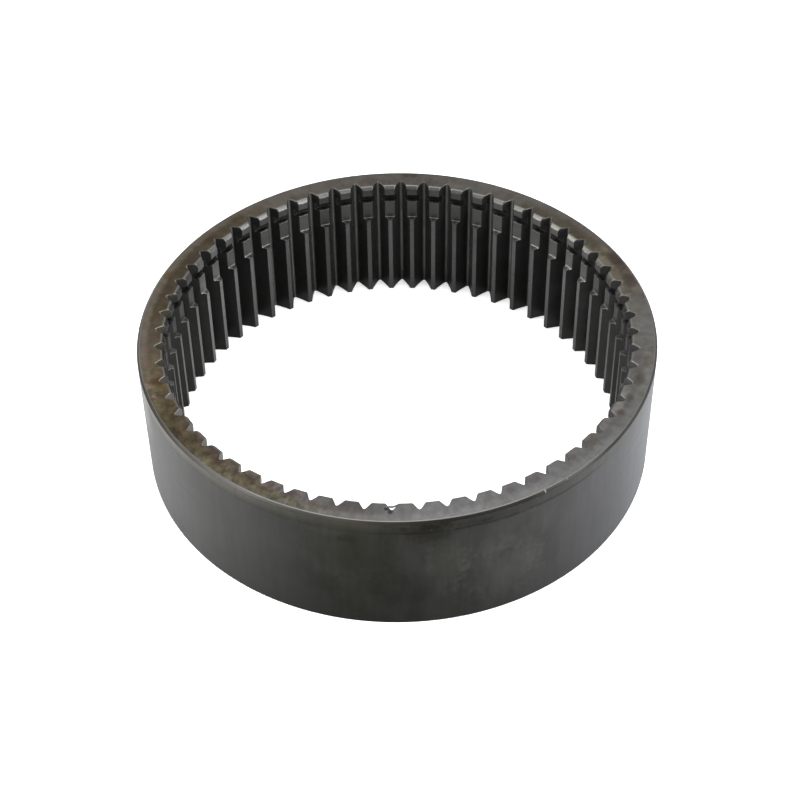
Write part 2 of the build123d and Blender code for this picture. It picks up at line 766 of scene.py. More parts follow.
@dataclass(frozen=True)
class RimSteel(Steel):
    """Outer wall: faint upright streaks, oily smudges at the front, a browned band under the top edge, and
    painted reflection, highlight and shade.

    Attributes:
        mottled: where the oil is cloudy.
        shaded_foot: where painted shade makes the wall darker towards its foot.
        painted_highlight: where the upper wall carries a painted highlight.
        glint: how much lighter that painted highlight makes the wall.
        band_height: height of the foot of the band, in millimetres.
        waviness: how far that foot rises and falls, in millimetres.
        lifted: where the band is lighter than the wall.
        scored: where the dark ring line at the foot of the band is strong.
    """

    mottled: Sector = Sector(240.0, 262.0, 296.0, 318.0)
    shaded_foot: Sector = Sector(215.0, 240.0, 285.0, 320.0)
    painted_highlight: Sector = Sector(191.0, 195.0, 199.0, 206.0)
    glint: float = 1.8
    band_height: float = 48.9
    waviness: float = 1.4
    lifted: Sector = Sector(194.0, 208.0, 262.0, 277.0)
    scored: Sector = Sector(262.0, 280.0, 310.0, 326.0)

    def colour(self, graph: Graph, groups: Groups, place: Place) -> bpy.types.NodeSocket:
        """Colour of the wall; the arguments and the result are those of the plain steel."""
        colour = graph.around(place.turn, self.around)
        streaks = groups.streak_noise(graph, place.turn, place.height, density=260.0, length=40.0)
        colour = graph.scale(colour, graph.span(streaks["Value"], 0.25, 0.75, 0.93, 1.07))
        blotch = groups.mottle.place(graph, Scale=45.0, Level=0.5, Edge=0.16, Stretch=1.8)["Stain"]
        light = graph.mix(blotch, (0.83, 0.84, 0.79), (1.18, 1.17, 1.15))
        colour = graph.mix(self.mottled.mask(graph, place.turn), colour, graph.multiply(colour, light))
        # Painted shade: the front of the wall darkens towards its foot.
        low = graph.span(place.height, 44.0, 8.0, 0.0, 0.20)
        dark = graph.math("MULTIPLY", low, self.shaded_foot.mask(graph, place.turn))
        colour = graph.scale(colour, graph.math("SUBTRACT", 1.0, dark))
        # Painted highlight on the upper wall, near 195 degrees.
        upper = graph.span(place.height, 26.0, 42.0)
        bright = graph.math("MULTIPLY", self.painted_highlight.mask(graph, place.turn), upper)
        colour = graph.scale(colour, graph.span(bright, 0.0, 1.0, 1.0, self.glint))
        colour = self.stained_and_shaded(graph, groups, place, place.height, colour)
        return self.band(graph, groups, place, colour)

    def band(
        self, graph: Graph, groups: Groups, place: Place, colour: bpy.types.NodeSocket
    ) -> bpy.types.NodeSocket:
        """Adds the band under the top edge and the dark ring line at its foot.

        Args:
            graph: the material's graph.
            groups: the shared node groups.
            place: the point.
            colour: colour of the wall.

        Returns:
            The colour with the band.
        """
        wander = groups.streak_noise(graph, place.turn, place.height, density=170.0, length=60.0)
        height = graph.math("ADD", place.height, graph.math("MULTIPLY", wander["Value"], self.waviness))
        foot = self.band_height + self.waviness / 2
        lifted = self.lifted.mask(graph, place.turn)
        rise = graph.math("MULTIPLY", graph.span(height, foot - 0.5, foot + 4.5), lifted)
        band = graph.scale(colour, graph.math("ADD", graph.math("MULTIPLY", rise, 0.75), 1.0))
        browned = graph.multiply(band, (0.96, 0.94, 0.85))
        colour = graph.mix(graph.span(height, foot, foot + 0.4), colour, browned)
        away = graph.math("ABSOLUTE", graph.math("SUBTRACT", height, foot))
        strength = graph.span(self.scored.mask(graph, place.turn), 0.0, 1.0, 0.5, 2.0)
        depth = graph.math("MULTIPLY", graph.span(wander["Hue"], 0.3, 0.5, 0.1, 0.25), strength)
        line = graph.math("MULTIPLY", graph.span(away, 0.75, 0.15), depth)
        return graph.scale(colour, graph.math("SUBTRACT", 1.0, line))


@dataclass(frozen=True)
class RimEdgeSteel(Steel):
    """Chamfer of the rim: its lightness round the gear is painted reflection and shade, and its worn edge
    with its painted highlight shows less on one stretch.

    Attributes:
        dimmed_edge: where the worn edge and its painted highlight show least.
    """

    dimmed_edge: Sector = Sector(188.0, 206.0, 228.0, 246.0)

    def worn(self, graph: Graph, place: Place, wear_and_highlight: bpy.types.NodeSocket) -> bpy.types.NodeSocket:
        """How much of the worn colour shows; the arguments and the result are those of the plain steel."""
        kept = graph.span(self.dimmed_edge.mask(graph, place.turn), 0.0, 1.0, 1.0, 0.25)
        return graph.math("MULTIPLY", wear_and_highlight, kept)


def greys(*levels: tuple[float, float], warmth: float = 0.97) -> tuple[Stop, ...]:
    """Greys round the gear.

    Args:
        levels: angles in degrees, each with how light the steel is drawn there, with any painted light.
        warmth: blue part of every grey over its red part.

    Returns:
        The stops.
    """
    return tuple((degrees, (level, level, level * warmth)) for degrees, level in levels)


FINISHES: dict[Finish, Steel] = {
    Finish.TOP_FACE: TopFaceSteel(
        around=(
            (5.0, (0.105, 0.101, 0.094)),
            (20.0, (0.070, 0.061, 0.048)),
            (42.0, (0.057, 0.050, 0.037)),
            (62.0, (0.081, 0.077, 0.069)),
            (76.0, (0.087, 0.081, 0.074)),
            (86.0, (0.074, 0.066, 0.059)),
            (105.0, (0.087, 0.080, 0.070)),
            (124.0, (0.085, 0.075, 0.065)),
            (136.0, (0.053, 0.043, 0.030)),
            (166.0, (0.042, 0.033, 0.022)),
            (192.0, (0.074, 0.060, 0.044)),
            (212.0, (0.044, 0.035, 0.023)),
            (238.0, (0.058, 0.050, 0.040)),
            (252.0, (0.067, 0.062, 0.056)),
            (262.0, (0.062, 0.059, 0.057)),
            (275.0, (0.092, 0.093, 0.094)),
            (302.0, (0.098, 0.098, 0.100)),
            (318.0, (0.084, 0.083, 0.080)),
            (345.0, (0.087, 0.084, 0.080)),
        ),
        outer=(
            (5.0, (0.095, 0.092, 0.086)),
            (25.0, (0.068, 0.057, 0.050)),
            (50.0, (0.090, 0.084, 0.079)),
            (75.0, (0.087, 0.082, 0.078)),
            (87.0, (0.074, 0.068, 0.063)),
            (100.0, (0.084, 0.078, 0.072)),
            (122.0, (0.081, 0.074, 0.068)),
            (147.0, (0.090, 0.078, 0.064)),
            (190.0, (0.102, 0.084, 0.073)),
            (201.0, (0.106, 0.088, 0.076)),
            (206.0, (0.066, 0.055, 0.044)),
            (215.0, (0.031, 0.025, 0.018)),
            (225.0, (0.065, 0.057, 0.046)),
            (243.0, (0.060, 0.054, 0.047)),
            (253.0, (0.090, 0.086, 0.081)),
            (290.0, (0.117, 0.117, 0.116)),
            (330.0, (0.100, 0.102, 0.096)),
            (350.0, (0.110, 0.111, 0.105)),
        ),
        edge=(0.12, 0.12, 0.114),
        roughness=0.42,
        stain=(0.76, 0.71, 0.64),
        stain_scale=110.0,
        stain_share=0.4,
        marks=0.00001,
        stains_and_shades=(
            # Dark corner beside the burr.
            StainAndShade(268.8, 93.2, 0.6, 0.8, (0.28, 0.28, 0.27)),
            StainAndShade(269.7, 94.4, 0.65, 1.1, (0.32, 0.32, 0.30)),
            # Teeth lighter and darker than the face, at the right.
            StainAndShade(23.0, 91.5, 10.0, 2.8, (1.85, 1.90, 1.95)),
            StainAndShade(333.0, 91.5, 9.0, 2.2, (1.65, 1.68, 1.72)),
            StainAndShade(53.0, 92.0, 5.0, 2.2, (0.80, 0.76, 0.67)),
            # Brown and light patches at the right.
            StainAndShade(26.0, 97.0, 3.0, 2.6, (0.66, 0.58, 0.60)),
            StainAndShade(18.0, 96.5, 2.6, 2.8, (0.66, 0.58, 0.60)),
            StainAndShade(30.5, 96.0, 1.4, 1.6, (1.45, 1.38, 1.26)),
            StainAndShade(14.5, 97.0, 1.8, 1.8, (1.35, 1.30, 1.26)),
            StainAndShade(12.0, 99.0, 0.8, 1.2, (0.78, 0.66, 0.60)),
            StainAndShade(354.0, 98.0, 1.2, 1.4, (0.86, 0.82, 0.74)),
            StainAndShade(350.0, 97.0, 1.8, 2.0, (0.82, 0.76, 0.68)),
            StainAndShade(343.5, 95.5, 1.8, 2.0, (0.70, 0.66, 0.64)),
            # Faint brown patches on the teeth, from the right to the front.
            StainAndShade(339.0, 97.5, 1.2, 1.4, (0.84, 0.82, 0.66)),
            StainAndShade(337.0, 94.0, 1.3, 1.6, (0.70, 0.66, 0.62)),
            StainAndShade(331.5, 94.0, 1.3, 1.8, (0.80, 0.70, 0.70)),
            StainAndShade(320.0, 93.5, 1.4, 2.0, (0.80, 0.72, 0.66)),
            StainAndShade(313.5, 93.0, 1.2, 1.6, (0.80, 0.72, 0.74)),
            StainAndShade(302.5, 93.5, 1.2, 1.6, (0.84, 0.76, 0.77)),
            StainAndShade(296.0, 93.5, 1.2, 1.6, (0.86, 0.78, 0.79)),
            StainAndShade(291.0, 94.0, 1.2, 1.6, (0.86, 0.78, 0.79)),
            # Brown patches on the far side and at the left.
            StainAndShade(88.0, 98.2, 2.2, 2.0, (0.70, 0.62, 0.62)),
            StainAndShade(98.0, 94.5, 3.0, 2.0, (0.88, 0.80, 0.78)),
            StainAndShade(161.0, 97.0, 1.4, 1.6, (0.75, 0.72, 0.55)),
            StainAndShade(172.0, 92.0, 1.6, 1.6, (0.82, 0.86, 0.64)),
            StainAndShade(182.5, 91.0, 1.6, 2.0, (0.92, 0.76, 0.70)),
            StainAndShade(198.5, 93.5, 1.6, 2.0, (0.85, 0.74, 0.52)),
            StainAndShade(134.5, 96.0, 2.0, 2.0, (0.78, 0.70, 0.60)),
            StainAndShade(144.5, 94.5, 1.6, 1.6, (0.80, 0.72, 0.60)),
        ),
    ),
    Finish.RIM: RimSteel(
        # Painted reflection: the wall is drawn much darker at the front and lighter towards both sides.
        around=(
            (90.0, (0.060, 0.060, 0.058)),
            (190.0, (0.180, 0.176, 0.177)),
            (205.0, (0.150, 0.148, 0.148)),
            (230.0, (0.080, 0.079, 0.077)),
            (248.0, (0.042, 0.042, 0.039)),
            (262.0, (0.023, 0.023, 0.019)),
            (275.0, (0.028, 0.028, 0.026)),
            (290.0, (0.042, 0.042, 0.040)),
            (305.0, (0.058, 0.058, 0.059)),
            (325.0, (0.112, 0.114, 0.120)),
            (345.0, (0.215, 0.226, 0.242)),
        ),
        metallic=0.9,
        stain_share=0.2,
        marks=0.000008,
        stains_and_shades=(
            # Painted reflection: darker patches where the bright stretches at both sides end.
            StainAndShade(193.0, 4.0, 6.0, 14.0, (0.76, 0.76, 0.76)),
            StainAndShade(354.0, 51.0, 5.0, 6.0, (0.74, 0.74, 0.75)),
            StainAndShade(349.0, 3.0, 5.0, 6.0, (0.70, 0.70, 0.71)),
            # Dark and light clouds of oil on the front.
            StainAndShade(257.0, 47.5, 4.0, 2.5, (1.22, 1.22, 1.20)),
            StainAndShade(255.5, 19.0, 4.0, 6.0, (0.78, 0.79, 0.74)),
            StainAndShade(262.0, 37.0, 9.0, 11.0, (0.86, 0.87, 0.78)),
            StainAndShade(272.0, 20.0, 6.5, 9.0, (0.76, 0.76, 0.72)),
            StainAndShade(277.5, 49.0, 5.0, 5.0, (0.60, 0.57, 0.50)),
            StainAndShade(281.0, 30.0, 4.5, 12.0, (1.45, 1.46, 1.42)),
            StainAndShade(292.0, 51.0, 9.0, 3.0, (0.72, 0.72, 0.71)),
            StainAndShade(292.0, 36.0, 4.0, 5.0, (1.20, 1.20, 1.16)),
            StainAndShade(293.0, 20.0, 9.0, 13.0, (1.36, 1.36, 1.34)),
            StainAndShade(247.0, 24.0, 5.5, 6.5, (0.90, 0.91, 0.88)),
            StainAndShade(304.0, 40.0, 3.0, 7.0, (1.10, 1.10, 1.12)),
            # Dark spots and one bright fleck under the top edge.
            StainAndShade(299.0, 53.8, 5.0, 1.0, (0.66, 0.66, 0.64)),
            StainAndShade(272.5, 51.5, 1.2, 1.2, (0.62, 0.60, 0.55)),
            StainAndShade(278.0, 51.5, 2.0, 1.6, (0.60, 0.58, 0.52)),
            StainAndShade(280.5, 52.5, 1.0, 1.2, (0.65, 0.62, 0.56)),
            StainAndShade(289.5, 50.5, 1.4, 1.0, (0.70, 0.66, 0.58)),
            StainAndShade(260.5, 45.0, 2.2, 2.2, (0.75, 0.76, 0.72)),
            StainAndShade(278.0, 50.2, 0.12, 0.3, (5.0, 5.0, 4.8)),
        ),
    ),
    Finish.RIM_EDGE: RimEdgeSteel(
        # Painted reflection and shade: how light the chamfer is drawn round the gear.
        around=(
            (90.0, (0.070, 0.068, 0.065)),
            (196.0, (0.033, 0.032, 0.030)),
            (212.0, (0.015, 0.014, 0.012)),
            (226.0, (0.027, 0.026, 0.024)),
            (240.0, (0.044, 0.043, 0.040)),
            (250.0, (0.050, 0.049, 0.045)),
            (260.0, (0.060, 0.059, 0.054)),
            (270.0, (0.037, 0.036, 0.033)),
            (280.0, (0.015, 0.015, 0.014)),
            (287.0, (0.010, 0.010, 0.010)),
            (298.0, (0.006, 0.006, 0.006)),
            (305.0, (0.013, 0.013, 0.013)),
            (312.0, (0.020, 0.020, 0.020)),
            (322.0, (0.016, 0.016, 0.016)),
            (334.0, (0.050, 0.050, 0.050)),
            (350.0, (0.060, 0.060, 0.061)),
        ),
        edge=(0.15, 0.15, 0.141),
        stain_share=0.3,
        stains_and_shades=(
            StainAndShade(302.8, 54.0, 0.16, 0.6, (7.0, 7.0, 6.7)),
            StainAndShade(308.5, 54.0, 0.14, 0.4, (2.5, 2.5, 2.4)),
        ),
    ),
    Finish.FLANK: Steel(
        # Painted light and shade: the flanks are drawn lighter at the front left, darker elsewhere, and
        # darker than the roots.
        around=(
            (10.0, (0.055, 0.055, 0.053)),
            (50.0, (0.055, 0.055, 0.054)),
            (70.0, (0.055, 0.055, 0.054)),
            (90.0, (0.042, 0.042, 0.041)),
            (110.0, (0.055, 0.055, 0.054)),
            (150.0, (0.033, 0.033, 0.032)),
            (172.0, (0.055, 0.055, 0.053)),
            (188.0, (0.045, 0.043, 0.039)),
            (196.0, (0.075, 0.070, 0.065)),
            (204.0, (0.20, 0.19, 0.18)),
            (240.0, (0.25, 0.24, 0.225)),
            (262.0, (0.08, 0.08, 0.08)),
            (345.0, (0.06, 0.06, 0.06)),
        ),
        metallic=0.8,
        roughness=0.35,
        tooth_share=0.15,
        stains_and_shades=(
            StainAndShade(178.0, 54.4, 14.0, 3.0, (1.75, 1.62, 1.40)),
            StainAndShade(345.0, 54.4, 12.0, 3.0, (1.45, 1.45, 1.40)),
        ),
    ),
    # Painted light: the roots are drawn a lighter grey than the flanks.
    Finish.ROOT: Steel(around=greys((180.0, 0.23)), metallic=0.9, roughness=0.35, tooth_share=0.15),
    Finish.TIP: Steel(
        # Painted light: the tips are drawn much lighter at the far left and the far right, and dark at the
        # front.
        around=greys(
            (10.0, 0.11),
            (30.0, 0.26),
            (50.0, 0.16),
            (90.0, 0.12),
            (110.0, 0.12),
            (130.0, 0.20),
            (150.0, 0.37),
            (170.0, 0.36),
            (200.0, 0.05),
            (300.0, 0.05),
            warmth=1.01,
        ),
        roughness=0.3,
        tooth_share=0.18,
    ),
    Finish.LAND: Steel(
        # Painted light: the lands are drawn lighter at the far left and the far right, and dark at the
        # front.
        around=greys(
            (10.0, 0.05),
            (30.0, 0.19),
            (50.0, 0.138),
            (90.0, 0.067),
            (110.0, 0.086),
            (130.0, 0.127),
            (150.0, 0.245),
            (170.0, 0.105),
            (270.0, 0.055),
        ),
        roughness=0.35,
        tooth_share=0.22,
    ),
    Finish.MOUTH: Steel(
        # Its warm tint near 35 degrees is its own; its lightness round the gear is painted light and shade.
        around=(
            (10.0, (0.056, 0.054, 0.050)),
            (35.0, (0.076, 0.071, 0.060)),
            (90.0, (0.064, 0.062, 0.061)),
            (150.0, (0.064, 0.062, 0.058)),
            (210.0, (0.040, 0.036, 0.030)),
            (240.0, (0.050, 0.046, 0.042)),
            (280.0, (0.090, 0.090, 0.090)),
        ),
        edge=(0.125, 0.125, 0.12),
        tooth_share=0.2,
    ),
    # Painted shade: the walls of the groove are drawn a very dark grey.
    Finish.GROOVE: Steel(around=greys((180.0, 0.024)), roughness=0.45),
    Finish.LOWER_FACE: Steel(
        around=greys((180.0, 0.1), warmth=0.95), edge=(0.2, 0.2, 0.19), roughness=0.42
    ),
    Finish.BURR: Steel(around=greys((180.0, 0.11)), roughness=0.4),
}


# ---------------------------------------------------------------------------------------------------
# The gear
# ---------------------------------------------------------------------------------------------------


@dataclass(frozen=True)
class Line:
    """One closed line round the gear, at one height.

    Attributes:
        height: height above the lower face.
        radius: radius of the tooth crests on a toothed line, and of the circle on a plain one.
        spread: how far an edge break moves the tooth outline into the metal.
        toothed: whether the line follows the teeth.
        finish: finish of the band between this line and the next, where it isn't a flank.
        wear_and_highlight: how worn the crest is on this line and how strong its painted highlight is, from
            0 to 1.
    """

    height: float
    radius: float
    spread: float = 0.0
    toothed: bool = True
    finish: Finish = Finish.TIP
    wear_and_highlight: float = 0.0


@dataclass
class GearBody:
    """The ring gear's body, with the edge breaks and rounded corners that the plain solid lacks.

    The outer radius and the width come from the frame. The roundings and breaks, the number of samples
    along the outline and the spread of the root's lighter finish, which is painted light, are this class's
    own.
    The other sizes are those of the solid.
    """

    outer_radius: float
    width: float
    module: float = 3 * MM
    teeth: int = 60
    pressure_angle: float = math.radians(30)
    addendum: float = 2.6 * MM
    dedendum: float = 3.45 * MM
    backlash: float = 0.04 * MM
    root_rounding: float = 0.7 * MM
    crest_rounding: float = 0.12 * MM
    turned_depth: float = 15.7 * MM
    turned_height: float = 2.1 * MM
    bevel_width: float = 1.0 * MM
    bevel_depth: float = 1.3 * MM
    groove_offset: float = 4.4 * MM
    groove_width: float = 3.3 * MM
    groove_depth: float = 2.3 * MM
    rim_chamfer: float = 0.9 * MM
    lower_rim_chamfer: float = 0.2 * MM
    upper_break: float = 0.3 * MM
    lower_break: float = 0.3 * MM
    step_rounding: float = 0.25 * MM
    dense_samples: int = 720
    lit_root_spread: float = 2.1
    lines: list[Line] = field(default_factory=list)

    @property
    def pitch_radius(self) -> float:
        """Radius of the pitch circle."""
        return self.module * self.teeth / 2

    @property
    def tip_radius(self) -> float:
        """Radius of the full-depth tooth crests."""
        return self.pitch_radius - self.addendum

    @property
    def root_radius(self) -> float:
        """Radius of the bottom of the tooth spaces."""
        return self.pitch_radius + self.dedendum

    @property
    def turned_radius(self) -> float:
        """Radius of the turned-back crests."""
        return self.tip_radius + self.turned_height

    def space_half_angle(self, radius: np.ndarray) -> np.ndarray:
        """Half the angle of a tooth space.

        The half angle at the pitch circle, plus the involute function of the pressure angle, less the
        involute function of the angle whose cosine is the base radius over the radius.

        Args:
            radius: distances from the axis.

        Returns:
            The half angles, in radians.
        """
        base = self.pitch_radius * math.cos(self.pressure_angle)
        at_pitch = math.pi / (2 * self.teeth) + self.backlash / (2 * self.pitch_radius)
        local = np.arccos(np.clip(base / radius, -1.0, 1.0))
        return at_pitch + math.tan(self.pressure_angle) - self.pressure_angle - (np.tan(local) - local)

    def outline(self, angle: np.ndarray) -> np.ndarray:
        """Distance from the axis to the tooth space's wall, before its crests are cut.

        The involute flank and the root circle are joined by a smooth minimum: the lesser of the two, less
        the square of how close they are.

        Args:
            angle: angles from the middle of the nearest tooth space, in radians, of either sign.

        Returns:
            The distances.
        """
        radii = np.linspace(self.tip_radius - 4 * MM, self.root_radius + 3 * MM, 400)
        halves = self.space_half_angle(radii)
        flank = np.interp(np.abs(angle), halves[::-1], radii[::-1])
        near = np.maximum(self.root_rounding - np.abs(flank - self.root_radius), 0.0)
        return np.minimum(flank, self.root_radius) - near**2 / (4 * self.root_rounding)

    def spread_outline(self, angle: np.ndarray, spread: float) -> np.ndarray:
        """The outline moved into the metal by an edge break.

        At each angle this is the furthest point reached there by circles, of the spread's radius, round
        every point of the outline.

        Args:
            angle: angles from the middle of the nearest tooth space.
            spread: how far the outline moves.

        Returns:
            The distances from the axis.
        """
        if spread <= 0.0:
            return self.outline(angle)
        half_pitch = math.pi / self.teeth
        dense = np.linspace(-2 * half_pitch, 2 * half_pitch, 2 * self.dense_samples + 1)
        centre = self.outline((dense + half_pitch) % (2 * half_pitch) - half_pitch)
        turn = angle[:, None] - dense[None, :]
        inside = spread**2 - (centre[None, :] * np.sin(turn)) ** 2
        reach = centre[None, :] * np.cos(turn) + np.sqrt(np.maximum(inside, 0.0))
        return np.where(inside > 0.0, reach, 0.0).max(axis=1)

    def columns(self) -> np.ndarray:
        """Angles of the mesh's columns over one pitch, close together where the outline turns.

        Returns:
            Angles from the middle of a tooth space, from minus to plus half a pitch, without the last.
        """
        half_pitch = math.pi / self.teeth
        groove_floor = self.turned_radius + self.groove_depth
        bends = np.array([self.root_radius, groove_floor, self.turned_radius, self.tip_radius])
        root, groove, land, tip = self.space_half_angle(bends)
        close = np.radians(0.05)
        half = [0.0, 0.4 * root, 0.8 * root, 1.15 * root, 1.5 * root, 2.0 * root]
        half += [groove - 0.6 * close, groove + 0.6 * close, (groove + land) / 2]
        half += [land - 3 * close, land - close, land, land + close, land + 3 * close, (land + tip) / 2]
        half += [tip - 3 * close, tip - close, tip, tip + close, tip + 3 * close, half_pitch]
        right = np.array(half)
        return np.concatenate([-right[:0:-1], right[:-1]])

    def section(self) -> list[Line]:
        """Lines round the section, from the inner lower edge up the teeth and back down the rim.

        Returns:
            The lines, in order. The last is followed by the first.
        """
        top = self.width
        tip = self.tip_radius
        land = self.turned_radius
        floor = top - self.turned_depth
        upper = top - self.groove_offset
        lower = upper - self.groove_width
        deep = land + self.groove_depth
        rounding = self.step_rounding
        slope = 0.03 * MM
        fillet = 0.10 * MM
        corner = 0.12 * MM
        fade = 1.0 * MM
        lines = self.lower_edge(tip)
        lines += [
            Line(floor - rounding - fade, tip, wear_and_highlight=0.2),
            Line(floor - rounding, tip, wear_and_highlight=0.6),
            Line(floor - 0.3 * rounding, tip + 0.3 * rounding, wear_and_highlight=1.0, finish=Finish.LAND),
            Line(floor - slope, tip + rounding, wear_and_highlight=0.6, finish=Finish.LAND),
            Line(floor, land - 3 * fillet, finish=Finish.LAND),
            Line(floor + fillet, land - fillet, wear_and_highlight=0.5, finish=Finish.LAND),
            Line(floor + 3 * fillet, land, finish=Finish.LAND),
            Line(floor + 1.5 * fade, land, finish=Finish.LAND),
            Line(lower - corner, land, wear_and_highlight=0.5, finish=Finish.LAND),
            Line(lower, land + corner, wear_and_highlight=0.5, finish=Finish.GROOVE),
            Line(lower + slope, deep - fillet, finish=Finish.GROOVE),
            Line(lower + slope + fillet, deep, finish=Finish.GROOVE),
            Line(upper - slope - fillet, deep, finish=Finish.GROOVE),
            Line(upper - slope, deep - fillet, finish=Finish.GROOVE),
            Line(upper, land + corner, wear_and_highlight=0.3, finish=Finish.LAND),
            Line(upper + corner, land, wear_and_highlight=0.3, finish=Finish.LAND),
        ]
        lines += self.mouth(top, land)
        lines += self.rim(top)
        return lines

    def lower_edge(self, tip: float) -> list[Line]:
        """Lines of the lower tooth ends, with a quarter-round edge break.

        Args:
            tip: radius of the tooth crests.

        Returns:
            The lines, from the lower face up.
        """
        size = self.lower_break
        turns = np.radians([0.0, 30.0, 60.0, 90.0])
        steps = [(size * (1 - math.cos(turn)), size * (1 - math.sin(turn))) for turn in turns]
        return [Line(height, tip + spread, spread, wear_and_highlight=0.4) for height, spread in steps]

    def mouth(self, top: float, land: float) -> list[Line]:
        """Lines of the bevelled mouth: a steep bevel, then a shallow one into the top face.

        Args:
            top: height of the top face.
            land: radius of the turned-back crests.

        Returns:
            The lines, going up.
        """
        width, depth, size = self.bevel_width, self.bevel_depth, self.upper_break
        return [
            Line(top - depth - 0.25 * MM, land, wear_and_highlight=0.1, finish=Finish.LAND),
            Line(top - depth + 0.10 * MM, land + 0.06 * width, wear_and_highlight=0.3, finish=Finish.MOUTH),
            Line(top - 0.30 * depth, land + 0.72 * width, 0.0, wear_and_highlight=0.2, finish=Finish.MOUTH),
            Line(top - 0.12 * depth, land + 0.90 * width, 0.35 * size, wear_and_highlight=0.8, finish=Finish.MOUTH),
            Line(top - 0.04 * depth, land + 1.08 * width, 0.75 * size, wear_and_highlight=1.0, finish=Finish.TOP_FACE),
            Line(top, land + 1.35 * width, size, wear_and_highlight=0.5, finish=Finish.TOP_FACE),
            Line(top, land + 1.80 * width, 1.35 * size, wear_and_highlight=0.0, finish=Finish.TOP_FACE),
        ]

    def rim(self, top: float) -> list[Line]:
        """Lines of the top face, the rim with its chamfers, and the lower face.

        Args:
            top: height of the top face.

        Returns:
            The lines, outwards, down and inwards again.
        """
        outer = self.outer_radius
        chamfer = self.rim_chamfer
        foot = self.lower_rim_chamfer
        blunt = 0.12 * MM

        def circle(height: float, radius: float, finish: Finish, wear_and_highlight: float = 0.0) -> Line:
            """A plain circle."""
            return Line(height, radius, 0.0, False, finish, wear_and_highlight)

        return [
            circle(top, (self.root_radius + outer) / 2, Finish.TOP_FACE),
            circle(top, outer - chamfer - 5 * blunt, Finish.TOP_FACE),
            circle(top, outer - chamfer - 3 * blunt, Finish.TOP_FACE, 0.15),
            circle(top, outer - chamfer - blunt, Finish.RIM_EDGE, 1.0),
            circle(top - 0.6 * blunt, outer - chamfer + 0.4 * blunt, Finish.RIM_EDGE, 0.8),
            circle(top - 1.8 * blunt, outer - chamfer + 1.6 * blunt, Finish.RIM_EDGE, 0.0),
            circle(top - chamfer + 0.4 * blunt, outer - 0.6 * blunt, Finish.RIM_EDGE, 0.0),
            circle(top - chamfer - blunt, outer, Finish.RIM),
            circle(top - chamfer - 4 * blunt, outer, Finish.RIM),
            circle(foot + 4 * blunt, outer, Finish.RIM),
            circle(foot, outer, Finish.RIM_EDGE),
            circle(0.3 * foot, outer - 0.3 * foot, Finish.RIM_EDGE),
            circle(0.0, outer - foot, Finish.LOWER_FACE),
            circle(0.0, (self.root_radius + outer) / 2, Finish.LOWER_FACE),
        ]

    def radii(self, line: Line, columns: np.ndarray) -> tuple[np.ndarray, np.ndarray]:
        """Distances from the axis along one line, over one pitch.

        On a toothed line the crest and the outline are joined by a smooth maximum: the greater of the two,
        plus the square of how close they are, which rounds the corner of the tooth.

        Args:
            line: the line.
            columns: angles from the middle of the tooth space.

        Returns:
            The distances, and for each column whether it lies on the crest.
        """
        if not line.toothed:
            return np.full(columns.shape, line.radius), np.ones(columns.shape, bool)
        wall = self.spread_outline(columns, line.spread)
        near = np.maximum(self.crest_rounding - np.abs(wall - line.radius), 0.0)
        return np.maximum(wall, line.radius) + near**2 / (4 * self.crest_rounding), wall <= line.radius

    def build(self, materials: dict[Finish, bpy.types.Material]) -> bpy.types.Object:
        """Builds the body as a grid of lines and columns, closed both ways.

        A point is at (radius cos angle, radius sin angle, height), where radius is a function of line and
        column.

        Args:
            materials: materials by finish.

        Returns:
            The object.
        """
        columns = self.columns()
        self.lines = self.section()
        pitches = np.arange(self.teeth)[:, None] * 2 * math.pi / self.teeth
        angles = (pitches + columns[None, :]).ravel()
        pairs = [self.radii(line, columns) for line in self.lines]
        radii = np.tile(np.stack([pair[0] for pair in pairs]), (1, self.teeth))
        crest = np.tile(np.stack([pair[1] for pair in pairs]), (1, self.teeth))
        heights = np.array([line.height for line in self.lines])[:, None] + 0 * radii
        points = np.stack([radii * np.cos(angles), radii * np.sin(angles), heights], axis=-1)
        rows, count = radii.shape
        row, column = np.meshgrid(np.arange(rows), np.arange(count), indexing="ij")
        after = (row + 1) % rows
        beside = (column + 1) % count
        near, far = row * count, after * count
        quads = np.stack([near + column, far + column, far + beside, near + beside], axis=-1)
        mesh = new_mesh("ring_gear_body", points.reshape(-1, 3), quads.reshape(-1, 4))
        order = list(materials)
        for finish in order:
            mesh.materials.append(materials[finish])
        mesh.polygons.foreach_set("material_index", self.band_finishes(crest, order).ravel())
        wear_and_highlight = np.array([line.wear_and_highlight for line in self.lines])[:, None] * crest
        store_wear(mesh, wear_and_highlight.ravel())
        piece = new_object("ring_gear_body", mesh)
        finish_edges(piece, math.radians(50))
        return piece

    def band_finishes(self, crest: np.ndarray, order: list[Finish]) -> np.ndarray:
        """Picks each face's material.

        A face between two toothed lines is a flank unless its lower or its upper side is on the crest. The
        root's finish, drawn lighter as painted light, covers the middle of each tooth space, but not the
        broken edges at its ends.

        Args:
            crest: for each line and column, whether it is on the crest.
            order: finishes in the order of the mesh's materials.

        Returns:
            Material numbers, one for each line and column.
        """
        own = np.array([order.index(line.finish) for line in self.lines])[:, None] + 0 * crest.astype(int)
        toothed = np.array([line.toothed for line in self.lines])[:, None] & np.ones(crest.shape, bool)
        columns = self.columns()
        root = self.space_half_angle(np.array([self.root_radius]))[0] * self.lit_root_spread
        in_root = np.tile((np.abs(columns) < root) & (np.abs(np.roll(columns, -1)) < root), self.teeth)
        nxt = np.roll(crest, -1, axis=0)
        on_crest = (crest & np.roll(crest, -1, axis=1)) | (nxt & np.roll(nxt, -1, axis=1))
        top = np.array([line.finish is Finish.TOP_FACE for line in self.lines])[:, None]
        broken = np.array([line.spread > 0.0 for line in self.lines])[:, None]
        bottom = in_root[None, :] & ~broken & ~np.roll(broken, -1, axis=0)
        wall = np.where(bottom, order.index(Finish.ROOT), order.index(Finish.FLANK))
        return np.where(toothed & ~on_crest & ~top, wall, own)


